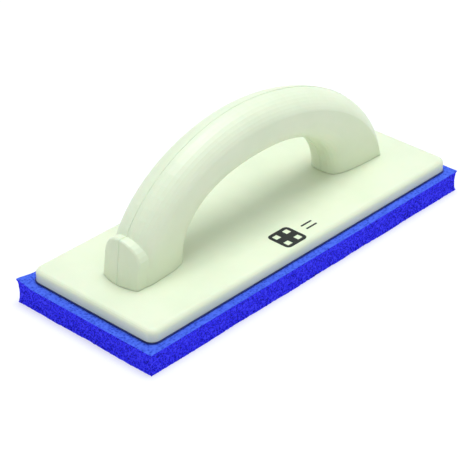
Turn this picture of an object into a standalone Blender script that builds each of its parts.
"""A grout float: a moulded plate with a hollow arch handle in two halves, faced with a bonded foam pad.

+X runs along the float from its nose end to its heel end, +Y to the user's right and +Z up.
The origin is the middle of the pad's working face. Lengths are in metres.
"""

import math

import bmesh
import bpy
from mathutils import Matrix, Vector

MM = 0.001

# Foam pad and the glue that bonds it
PAD_LENGTH = 280 * MM
PAD_WIDTH = 110 * MM
PAD_THICKNESS = 14.3 * MM
GLUE_THICKNESS = 0.4 * MM
GLUE_INSET = 2 * MM  # how far the glue stops short of the plate's edge

# Plate
FRONT_MARGIN = 7 * MM  # pad showing past the plate at the nose end
REAR_MARGIN = 4 * MM  # and at the heel end
SIDE_MARGIN = 6 * MM  # pad showing past the plate along each side
PLATE_THICKNESS = 7.7 * MM
PLATE_CORNER_RADIUS = 6 * MM
PLATE_EDGE_RADIUS = 3 * MM
LOCATOR_HEIGHT = 3 * MM  # the raised seat that each handle foot drops over
LOCATOR_CLEARANCE = 0.4 * MM

# Handle, in side view: two arches, the spine outside and the finger gap inside
FRONT_SETBACK = 21.5 * MM  # plate edge to the front of the handle
REAR_SETBACK = 19.5 * MM
FRONT_FOOT_DEPTH = 46 * MM
REAR_FOOT_DEPTH = 48.5 * MM
SPINE_HEIGHT = 76.6 * MM
SPINE_CREST_X = -6 * MM
SPINE_FRONT_POWER = 1.94  # 2 is an ellipse, more is squarer
SPINE_REAR_POWER = 1.85
GAP_HEIGHT = 43.5 * MM
GAP_CREST_X = 6 * MM
GAP_FRONT_POWER = 2.45
GAP_REAR_POWER = 2.15

# Handle, in cross section
HANDLE_WIDTH = 30 * MM
HANDLE_WALL = 3 * MM
REAR_SHOULDER = 0.86  # the widest line's place across the depth, from the finger gap to the spine
GRIP_SHOULDER = 0.62
FRONT_SHOULDER = 0.72
REAR_DOME_POWER = 1.25  # how the spine's side closes above the shoulder, lower for a sharper shoulder
FRONT_DOME_POWER = 1.9
FINGER_POWER = 4.0
SIDE_TUCK = 0.08  # how much narrower the finger side is than the shoulder, as a share
NOSE_HEIGHT = 28.4 * MM
NOSE_SIDE_STEP = 0.8 * MM  # how far the nose stands inside each side of the leg
NOSE_BOW_RADIUS = 30 * MM
NOSE_PROUD = 0.6 * MM  # how far the nose's foot stands ahead of the leg behind it
NOSE_LEAN = 0.11  # how far the nose leans back for each unit of height
NOSE_EDGE_RADIUS = 1.2 * MM
NOSE_DEPTH = 22 * MM

# Screws up through the plate, and the bosses that they hold
SCREW_LENGTH = 25 * MM
SCREW_RADIUS = 2 * MM
SCREW_ROOT_RADIUS = 1.5 * MM
SCREW_PITCH = 1.8 * MM
SCREW_RIDGE_WIDTH = 1 * MM
SCREW_HEAD_RADIUS = 4 * MM
SCREW_HEAD_HEIGHT = 2.6 * MM
SCREW_HEAD_RIM = 0.4 * MM
SCREW_RECESS = 0.4 * MM  # how far the head lies inside the plate's underside
DRIVE_WIDTH = 4.4 * MM
DRIVE_SLOT = 1.1 * MM
DRIVE_DEPTH = 1.5 * MM
BOSS_WALL = 1.9 * MM
BOSS_CAP = 2 * MM
RIB_THICKNESS = 2 * MM

# Pegs that line the two halves up
PEG_RADIUS = 2.5 * MM
PEG_REACH = 5 * MM
SOCKET_WALL = 1.8 * MM
PEG_ANGLES = (30, 90, 150)  # degrees along the arch, from the heel end

# Clearances between pieces
TOUCH_GAP = 0.3 * MM  # between pieces that touch
FREE_GAP = 0.3 * MM  # round a screw or a peg
OVERSHOOT = 4 * MM  # how far a cutter runs past what it cuts

# Fineness of the facets
ARCH_STEPS = 36
SECTION_POINTS = 36
CAVITY_STEPS = 24
CAVITY_POINTS = 20
ROUND_POINTS = 24
CORNER_STEPS = 6
NOSE_STEPS = 15
NOSE_EDGE_STEPS = 3
NOSE_FACE_RINGS = (0.6, 0.2)  # rings inside the nose's flat face, as shares of its half width
PLATE_EDGE_STEPS = 4
SCREW_POINTS = 16
SHARP_ANGLE = math.radians(35)

# Levels and places that follow from the sizes above
GLUE_BOTTOM = PAD_THICKNESS + TOUCH_GAP
PLATE_BOTTOM = GLUE_BOTTOM + GLUE_THICKNESS + TOUCH_GAP
PLATE_TOP = PLATE_BOTTOM + PLATE_THICKNESS
SEAT = PLATE_TOP + TOUCH_GAP  # the underside of the handle's feet
PLATE_ENDS = (FRONT_MARGIN - PAD_LENGTH / 2, PAD_LENGTH / 2 - REAR_MARGIN)
PLATE_SIDES = (SIDE_MARGIN - PAD_WIDTH / 2, PAD_WIDTH / 2 - SIDE_MARGIN)
FRONT_REACH = -PLATE_ENDS[0] - FRONT_SETBACK
REAR_REACH = PLATE_ENDS[1] - REAR_SETBACK
NOSE_WIDTH = HANDLE_WIDTH - 2 * NOSE_SIDE_STEP
HOLE_RADIUS = SCREW_RADIUS + FREE_GAP
BOSS_RADIUS = HOLE_RADIUS + BOSS_WALL
BOSS_Y = (HANDLE_WIDTH / 2 - HANDLE_WALL) / 2
FRONT_SCREW_X = -(FRONT_REACH - FRONT_FOOT_DEPTH / 2)
REAR_SCREW_X = REAR_REACH - REAR_FOOT_DEPTH / 2
SCREW_BOTTOM = PLATE_BOTTOM + SCREW_RECESS
HOLE_TOP = SCREW_BOTTOM + SCREW_LENGTH + FREE_GAP
BOSS_BOTTOM = PLATE_TOP + LOCATOR_HEIGHT + TOUCH_GAP
BOSS_TOP = HOLE_TOP + BOSS_CAP

IVORY = (0.82, 0.90, 0.72)
SIDES = {"left": -1, "right": 1}


# Scene and modifier helpers


def clear_scene():
    for item in list(bpy.data.objects):
        bpy.data.objects.remove(item, do_unlink=True)


def new_collection(name):
    collection = bpy.data.collections.new(name)
    bpy.context.scene.collection.children.link(collection)
    return collection


def new_material(name, colour, roughness, metallic=0.0):
    material = bpy.data.materials.new(name)
    material.use_nodes = True
    shader = material.node_tree.nodes["Principled BSDF"]
    shader.inputs["Base Color"].default_value = (*colour, 1.0)
    shader.inputs["Roughness"].default_value = roughness
    shader.inputs["Metallic"].default_value = metallic
    return material


def new_object(name, mesh, collection, material=None):
    item = bpy.data.objects.new(name, mesh)
    collection.objects.link(item)
    if material:
        mesh.materials.append(material)
    return item


def as_cutter(item):
    item.hide_render = True
    item.display_type = "WIRE"
    return item


def add_boolean(target, operand, operation):
    modifier = target.modifiers.new(f"{operation.lower()} {operand.name}", "BOOLEAN")
    modifier.operation = operation
    modifier.object = operand
    modifier.solver = "EXACT"


def mesh_from(name, bm):
    bmesh.ops.recalc_face_normals(bm, faces=bm.faces)
    mesh = bpy.data.meshes.new(name)
    bm.to_mesh(mesh)
    bm.free()
    return mesh


def shade_smooth(mesh):
    mesh.shade_smooth()
    mesh.set_sharp_from_angle(angle=SHARP_ANGLE)


def evaluated_mesh(item):
    graph = bpy.context.evaluated_depsgraph_get()
    return bpy.data.meshes.new_from_object(item.evaluated_get(graph), depsgraph=graph)


# Shapes


def superellipse(angle, half_width, half_height, power):
    """A point of a superellipse: power 2 is an ellipse, and a higher one is squarer."""
    across = math.copysign(abs(math.cos(angle)) ** (2 / power), math.cos(angle))
    up = math.copysign(abs(math.sin(angle)) ** (2 / power), math.sin(angle))
    return half_width * across, half_height * up


def rounded_rectangle(ends, sides, radius):
    """The points of an outline from its lowest and highest x and y, with each corner an arc."""
    points = []
    for turn, (end, side) in enumerate(((1, 1), (0, 1), (0, 0), (1, 0))):
        centre_x = ends[end] - (2 * end - 1) * radius
        centre_y = sides[side] - (2 * side - 1) * radius
        for step in range(CORNER_STEPS + 1):
            angle = (turn + step / CORNER_STEPS) * math.pi / 2
            points.append((centre_x + radius * math.cos(angle), centre_y + radius * math.sin(angle)))
    return points


def extruded_outline(name, outline, bottom, top):
    """A closed prism over a flat outline, from one level to another, as a bmesh."""
    curve = bpy.data.curves.new(name, "CURVE")
    curve.dimensions = "2D"
    curve.fill_mode = "BOTH"
    curve.extrude = (top - bottom) / 2
    spline = curve.splines.new("POLY")
    spline.points.add(len(outline) - 1)
    for point, (x, y) in zip(spline.points, outline):
        point.co = (x, y, 0, 1)
    spline.use_cyclic_u = True
    guide = bpy.data.objects.new(name, curve)
    bpy.context.scene.collection.objects.link(guide)
    bpy.context.view_layer.update()
    mesh = evaluated_mesh(guide)
    bpy.data.objects.remove(guide, do_unlink=True)
    bm = bmesh.new()
    bm.from_mesh(mesh)
    bpy.data.meshes.remove(mesh)
    bmesh.ops.remove_doubles(bm, verts=bm.verts, dist=1e-6)
    bmesh.ops.dissolve_limit(bm, angle_limit=1e-3, verts=bm.verts, edges=bm.edges)
    bmesh.ops.translate(bm, verts=bm.verts, vec=(0, 0, (top + bottom) / 2))
    return bm


def box(name, low, high, collection):
    bm = bmesh.new()
    bmesh.ops.create_cube(bm, size=1)
    size = Vector(high) - Vector(low)
    bmesh.ops.scale(bm, verts=bm.verts, vec=size)
    bmesh.ops.translate(bm, verts=bm.verts, vec=(Vector(high) + Vector(low)) / 2)
    return new_object(name, mesh_from(name, bm), collection)


def round_bar(name, start, end, radius, collection, end_radius=None):
    """A cylinder from one point to another, or a cone where the end radius differs."""
    start, end = Vector(start), Vector(end)
    turn = (end - start).to_track_quat("Z", "Y").to_matrix().to_4x4()
    bm = bmesh.new()
    bmesh.ops.create_cone(
        bm,
        cap_ends=True,
        segments=ROUND_POINTS,
        radius1=radius,
        radius2=radius if end_radius is None else end_radius,
        depth=(end - start).length,
        matrix=Matrix.Translation((start + end) / 2) @ turn,
    )
    return new_object(name, mesh_from(name, bm), collection)


def loft(name, rings):
    """A closed mesh through rings that all have the same number of points."""
    count = len(rings[0])
    bm = bmesh.new()
    loops = [[bm.verts.new(point) for point in ring] for ring in rings]
    for first, second in zip(loops, loops[1:]):
        for here in range(count):
            after = (here + 1) % count
            bm.faces.new((first[here], first[after], second[after], second[here]))
    bm.faces.new(loops[0])
    bm.faces.new(loops[-1])
    mesh = mesh_from(name, bm)
    shade_smooth(mesh)
    return mesh


# Handle geometry


def spine_point(angle, inset):
    """A point of the outer arch in side view, as x and the height above the seat."""
    rear = math.cos(angle) > 0
    power = SPINE_REAR_POWER if rear else SPINE_FRONT_POWER
    x, height = superellipse(angle, 1, SPINE_HEIGHT - inset, power)
    reach = REAR_REACH - SPINE_CREST_X if rear else FRONT_REACH + SPINE_CREST_X
    return Vector((SPINE_CREST_X + x * (reach - inset), height))


def gap_point(angle, inset):
    """A point of the finger gap's arch in side view, as x and the height above the seat."""
    rear = math.cos(angle) > 0
    power = GAP_REAR_POWER if rear else GAP_FRONT_POWER
    x, height = superellipse(angle, 1, GAP_HEIGHT + inset, power)
    if rear:
        reach = REAR_REACH - REAR_FOOT_DEPTH - GAP_CREST_X
    else:
        reach = FRONT_REACH - FRONT_FOOT_DEPTH + GAP_CREST_X
    return Vector((GAP_CREST_X + x * (reach + inset), height))


def handle_section(angle, inset, count):
    """One closed ring of the arch: a domed spine above a shoulder, then a flatter side tucked in below it."""
    outer, inner = spine_point(angle, inset), gap_point(angle, inset)
    foot_shoulder = REAR_SHOULDER if math.cos(angle) > 0 else FRONT_SHOULDER
    shoulder = foot_shoulder + (GRIP_SHOULDER - foot_shoulder) * math.sin(angle)
    dome_power = REAR_DOME_POWER + (FRONT_DOME_POWER - REAR_DOME_POWER) * angle / math.pi
    ring = []
    for step in range(count):
        turn = 2 * math.pi * step / count
        if math.cos(turn) >= 0:
            rise = math.cos(turn) ** (2 / dome_power)
            share = shoulder + (1 - shoulder) * rise
            width = math.sin(turn)
        else:
            _, width = superellipse(turn, 1, 1, FINGER_POWER)
            drop = abs(math.cos(turn)) ** (2 / FINGER_POWER)
            share = shoulder * (1 - drop)
            width *= 1 - SIDE_TUCK * drop
        x, height = inner + share * (outer - inner)
        ring.append(Vector((x, width * (HANDLE_WIDTH / 2 - inset), SEAT + height)))
    return ring


def arch_solid(name, inset, steps, count, collection):
    """The whole arch, inset by a wall or not, running a little below the seat at both feet."""
    below = Vector((0, 0, OVERSHOOT))
    rings = [handle_section(math.pi * step / steps, inset, count) for step in range(steps + 1)]
    rings = [[point - below for point in rings[0]]] + rings + [[point - below for point in rings[-1]]]
    return new_object(name, loft(name, rings), collection)


def nose_ring(front, offset, bow, half_width):
    """One ring of the nose: an upright arch on two straight sides, bowed back towards its sides."""
    shoulder = SEAT + NOSE_HEIGHT - NOSE_WIDTH / 2
    sweep = [math.pi * step / NOSE_STEPS for step in range(NOSE_STEPS + 1)]
    outline = [(half_width * math.cos(angle), shoulder + half_width * math.sin(angle)) for angle in sweep]
    outline += [(-half_width, SEAT - OVERSHOOT), (half_width, SEAT - OVERSHOOT)]
    ring = []
    for y, z in outline:
        back = bow * (y * y / (2 * NOSE_BOW_RADIUS) + NOSE_LEAN * (z - SEAT))
        ring.append(Vector((front + offset + back, y, z)))
    return ring


def nose_solid(name, inset, collection):
    """The arched nose on the front foot, inset by a wall or not, with a rounded edge round its front."""
    half_width = NOSE_WIDTH / 2 - inset
    front = -(FRONT_REACH + NOSE_PROUD) + inset
    rings = [nose_ring(front, NOSE_DEPTH, 0, half_width)]
    for step in range(NOSE_EDGE_STEPS + 1):
        turn = math.pi / 2 * step / NOSE_EDGE_STEPS
        offset = NOSE_EDGE_RADIUS * (1 - math.sin(turn))
        rings.append(nose_ring(front, offset, 1, half_width - NOSE_EDGE_RADIUS * (1 - math.cos(turn))))
    for share in NOSE_FACE_RINGS:
        rings.append(nose_ring(front, 0, 1, share * (half_width - NOSE_EDGE_RADIUS)))
    return as_cutter(new_object(name, loft(name, rings), collection))


def screw_places():
    """Each screw's name with the x and y of its axis."""
    return {
        f"screw_{end}_{side}": (x, sign * BOSS_Y)
        for end, x in (("front", FRONT_SCREW_X), ("rear", REAR_SCREW_X))
        for side, sign in SIDES.items()
    }


# Pieces


def make_foam_pad(collection):
    pad = box(
        "foam_pad",
        (-PAD_LENGTH / 2, -PAD_WIDTH / 2, 0),
        (PAD_LENGTH / 2, PAD_WIDTH / 2, PAD_THICKNESS),
        collection,
    )
    pad.data.materials.append(new_material("blue cellular foam", (0.02, 0.03, 0.75), 0.95))


def make_glue_layer(collection):
    ends = (PLATE_ENDS[0] + GLUE_INSET, PLATE_ENDS[1] - GLUE_INSET)
    sides = (PLATE_SIDES[0] + GLUE_INSET, PLATE_SIDES[1] - GLUE_INSET)
    outline = rounded_rectangle(ends, sides, PLATE_CORNER_RADIUS - GLUE_INSET)
    bm = extruded_outline("adhesive_layer", outline, GLUE_BOTTOM, GLUE_BOTTOM + GLUE_THICKNESS)
    material = new_material("contact adhesive", (0.03, 0.05, 0.16), 0.5)
    new_object("adhesive_layer", mesh_from("adhesive_layer", bm), collection, material)


def make_locators(cutters):
    """The two raised seats: the inside of each handle foot, less its clearance, cut off just above the plate."""
    seats = arch_solid("locators", HANDLE_WALL + LOCATOR_CLEARANCE, CAVITY_STEPS, CAVITY_POINTS, cutters)
    low = (-PAD_LENGTH, -HANDLE_WIDTH, SEAT - OVERSHOOT / 2)
    high = (PAD_LENGTH, HANDLE_WIDTH, PLATE_TOP + LOCATOR_HEIGHT)
    add_boolean(seats, as_cutter(box("locator_slab", low, high, cutters)), "INTERSECT")
    return as_cutter(seats)


def make_plate(collection, cutters):
    outline = rounded_rectangle(PLATE_ENDS, PLATE_SIDES, PLATE_CORNER_RADIUS)
    bm = extruded_outline("base_plate", outline, PLATE_BOTTOM, PLATE_TOP)
    top_edges = [
        edge
        for edge in bm.edges
        if all(math.isclose(vert.co.z, PLATE_TOP, abs_tol=1e-6) for vert in edge.verts)
    ]
    bmesh.ops.bevel(
        bm,
        geom=top_edges,
        offset=PLATE_EDGE_RADIUS,
        segments=PLATE_EDGE_STEPS,
        profile=0.5,
        affect="EDGES",
    )
    mesh = mesh_from("base_plate", bm)
    shade_smooth(mesh)
    material = new_material("moulded ivory ABS", IVORY, 0.45)
    plate = new_object("base_plate", mesh, collection, material)
    add_boolean(plate, make_locators(cutters), "UNION")
    for name, (x, y) in screw_places().items():
        hole = round_bar(
            f"{name}_hole", (x, y, PLATE_BOTTOM - OVERSHOOT), (x, y, SEAT + OVERSHOOT), HOLE_RADIUS, cutters
        )
        add_boolean(plate, as_cutter(hole), "DIFFERENCE")
        add_boolean(plate, make_countersink(name, x, y, cutters), "DIFFERENCE")


def make_countersink(name, x, y, cutters):
    """The conical seat of a screw's head, wider than the head by the clearance, open below the plate."""
    slope = (SCREW_HEAD_RADIUS - SCREW_RADIUS) / (SCREW_HEAD_HEIGHT - SCREW_HEAD_RIM)
    cone_top = SCREW_BOTTOM + SCREW_HEAD_HEIGHT + FREE_GAP
    mouth = HOLE_RADIUS + slope * (cone_top - (PLATE_BOTTOM - OVERSHOOT))
    cone = round_bar(
        f"{name}_countersink",
        (x, y, PLATE_BOTTOM - OVERSHOOT),
        (x, y, cone_top),
        mouth,
        cutters,
        end_radius=HOLE_RADIUS,
    )
    return as_cutter(cone)


def make_half_bosses(side, cutters):
    """The screw bosses and their ribs in one half, and the holes up them."""
    sign = SIDES[side]
    solids, holes = [], []
    wall_y = sign * (HANDLE_WIDTH - HANDLE_WALL) / 2
    for name, (x, y) in screw_places().items():
        if not name.endswith(side):
            continue
        solids.append(round_bar(f"{name}_boss", (x, y, BOSS_BOTTOM), (x, y, BOSS_TOP), BOSS_RADIUS, cutters))
        low = (x - RIB_THICKNESS / 2, min(y, wall_y), BOSS_BOTTOM + TOUCH_GAP)
        high = (x + RIB_THICKNESS / 2, max(y, wall_y), BOSS_TOP - TOUCH_GAP)
        solids.append(box(f"{name}_rib", low, high, cutters))
        start = (x, y, BOSS_BOTTOM - OVERSHOOT)
        holes.append(round_bar(f"{name}_pilot", start, (x, y, HOLE_TOP), HOLE_RADIUS, cutters))
    return solids, holes


def make_half_pegs(side, cutters):
    """Pegs in the right half, which reach into sockets in the left half."""
    solids, holes = [], []
    wall_y = (HANDLE_WIDTH - HANDLE_WALL) / 2
    for degrees in PEG_ANGLES:
        angle = math.radians(degrees)
        x, height = (spine_point(angle, 0) + gap_point(angle, 0)) / 2
        z = SEAT + height
        if side == "right":
            tip = (x, -PEG_REACH, z)
            solids.append(round_bar(f"peg_{degrees}", (x, wall_y, z), tip, PEG_RADIUS, cutters))
            continue
        split = -TOUCH_GAP / 2
        bore = PEG_RADIUS + FREE_GAP
        tube = bore + SOCKET_WALL
        solids.append(round_bar(f"socket_{degrees}", (x, -wall_y, z), (x, split, z), tube, cutters))
        hole_end = (x, -PEG_REACH - FREE_GAP, z)
        holes.append(round_bar(f"socket_bore_{degrees}", (x, OVERSHOOT, z), hole_end, bore, cutters))
    return solids, holes


def make_shell(side, collection, cutters, shared):
    """One half of the handle: the arch and nose, hollowed, cut at the split and fitted out inside."""
    material = new_material(f"moulded ivory ABS, {side} half", IVORY, 0.42)
    shell = arch_solid(f"handle_shell_{side}", 0, ARCH_STEPS, SECTION_POINTS, collection)
    shell.data.materials.append(material)
    add_boolean(shell, shared["nose"], "UNION")
    add_boolean(shell, shared["cavity"], "DIFFERENCE")
    add_boolean(shell, shared["nose_cavity"], "DIFFERENCE")
    sign = SIDES[side]
    ys = sorted((sign * TOUCH_GAP / 2, sign * HANDLE_WIDTH))
    keep = box(
        f"keep_{side}",
        (-PAD_LENGTH, ys[0], SEAT),
        (PAD_LENGTH, ys[1], SEAT + 2 * SPINE_HEIGHT),
        cutters,
    )
    add_boolean(shell, as_cutter(keep), "INTERSECT")
    boss_solids, boss_holes = make_half_bosses(side, cutters)
    peg_solids, peg_holes = make_half_pegs(side, cutters)
    for solid in boss_solids + peg_solids:
        add_boolean(shell, as_cutter(solid), "UNION")
    for hole in boss_holes + peg_holes:
        add_boolean(shell, as_cutter(hole), "DIFFERENCE")


def screw_profile():
    """The turned half profile of a countersunk screw standing on its head, from the tip down.

    The thread is drawn as one ring-shaped ridge for each pitch, with its flanks on the root radius.
    """
    neck_top = SCREW_HEAD_HEIGHT + SCREW_PITCH / 2
    tip_start = SCREW_LENGTH - 2 * SCREW_RADIUS
    ridges = int((tip_start - neck_top) / SCREW_PITCH)
    flank = SCREW_RIDGE_WIDTH / 2
    points = [(0, SCREW_LENGTH)]
    for ridge in reversed(range(ridges)):
        crest = neck_top + (ridge + 1) * SCREW_PITCH
        points.append((SCREW_ROOT_RADIUS, crest + flank))
        points.append((SCREW_RADIUS, crest))
        points.append((SCREW_ROOT_RADIUS, crest - flank))
    points.append((SCREW_RADIUS, neck_top))
    points.append((SCREW_RADIUS, SCREW_HEAD_HEIGHT))
    points.append((SCREW_HEAD_RADIUS, SCREW_HEAD_RIM))
    points.append((SCREW_HEAD_RADIUS, 0))
    points.append((0, 0))
    return points


def make_screws(collection, cutters):
    """One screw turned from its profile, with a cross recess, and a copy at each place."""
    profile = bpy.data.meshes.new("screw_profile")
    points = [(radius, 0, z) for radius, z in screw_profile()]
    profile.from_pydata(points, [(i, i + 1) for i in range(len(points) - 1)], [])
    master = new_object("screw_master", profile, cutters)
    turned = master.modifiers.new("turned", "SCREW")
    turned.steps = turned.render_steps = SCREW_POINTS
    turned.use_merge_vertices = True
    turned.merge_threshold = 1e-5
    for name, width, depth in (("across", DRIVE_WIDTH, DRIVE_SLOT), ("along", DRIVE_SLOT, DRIVE_WIDTH)):
        low = (-width / 2, -depth / 2, -OVERSHOOT)
        high = (width / 2, depth / 2, DRIVE_DEPTH)
        add_boolean(master, as_cutter(box(f"screw_drive_{name}", low, high, cutters)), "DIFFERENCE")
    bpy.context.view_layer.update()
    mesh = evaluated_mesh(master)
    mesh.name = "screw"
    bpy.data.objects.remove(master, do_unlink=True)
    shade_smooth(mesh)
    mesh.materials.append(new_material("zinc-plated steel", (0.62, 0.62, 0.6), 0.3, 1.0))
    for name, (x, y) in screw_places().items():
        new_object(name, mesh, collection).location = (x, y, SCREW_BOTTOM)


def main():
    clear_scene()
    pieces = new_collection("grout_float")
    cutters = new_collection("grout_float_cutters")
    cutters.hide_render = True
    make_foam_pad(pieces)
    make_glue_layer(pieces)
    make_plate(pieces, cutters)
    shared = {
        "nose": nose_solid("nose", 0, cutters),
        "cavity": as_cutter(arch_solid("cavity", HANDLE_WALL, CAVITY_STEPS, CAVITY_POINTS, cutters)),
        "nose_cavity": nose_solid("nose_cavity", HANDLE_WALL, cutters),
    }
    for side in SIDES:
        make_shell(side, pieces, cutters, shared)
    make_screws(pieces, cutters)


main()
